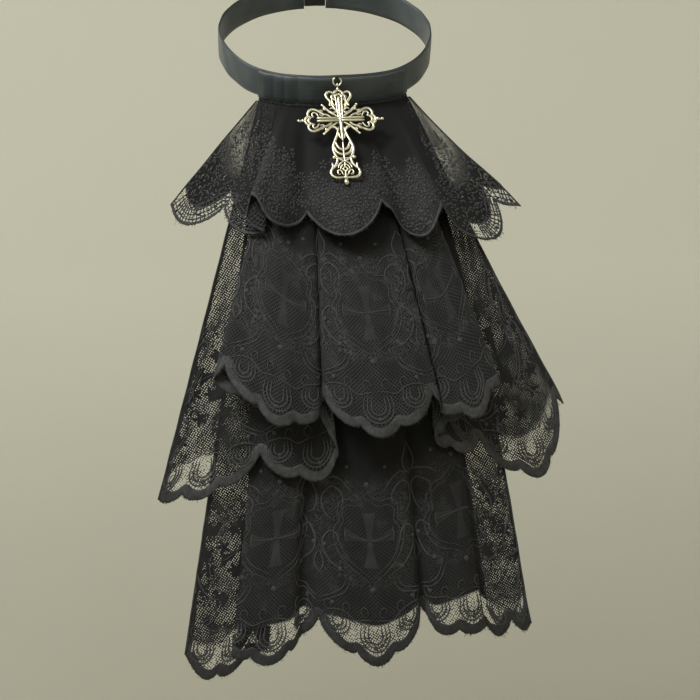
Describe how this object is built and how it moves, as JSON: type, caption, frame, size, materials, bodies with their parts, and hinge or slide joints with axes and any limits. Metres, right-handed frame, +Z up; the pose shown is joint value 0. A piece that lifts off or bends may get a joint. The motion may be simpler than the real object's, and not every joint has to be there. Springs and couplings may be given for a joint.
{
  "type": "lace jabot on a ribbon neck strap with a cross pendant",
  "caption": "Tiered pleated lace neckpiece on a satin ribbon neck strap, with a folded front band and a pierced cast cross that hangs from a sewn ring.",
  "frame": {"origin": "middle of the neck loop, where the neck's axis passes through the strap", "axes": "+Z up, the front faces -Y, +X to the right as seen from the front; the loop is tilted so that its front is lower than its back"},
  "size_m": [0.2109, 0.1703, 0.3751],
  "materials": {
    "black_satin": "satin ribbon with a soft sheen",
    "black_lace": "matte net lace with corded embroidery",
    "black_thread": "matte sewing thread",
    "black_plastic": "matte",
    "antique_gold": "cast, antiqued, dark in the recesses"
  },
  "bodies": {
    "jabot": {"neck_strap": "black_satin", "back_clasp": "black_plastic", "front_band": "black_satin", "top_ruffle": "black_lace", "middle_ruffle": "black_lace", "bottom_ruffle": "black_lace", "ring_stitch": "black_thread"},
    "ring": {"jump_ring": "antique_gold"},
    "cross": {"cross_pendant": "antique_gold"}
  },
  "joints": [
    {"name": "ring_sway", "type": "hinge", "parent": "jabot", "child": "ring", "pos_m": [0, -0.05584, -0.02956], "axis": [0, 1, 0], "range_deg": [-12, 12]},
    {"name": "cross_swing", "type": "hinge", "parent": "ring", "child": "cross", "pos_m": [0, -0.05584, -0.03386], "axis": [-1, 0, 0], "range_deg": [0, 75]}
  ]
}
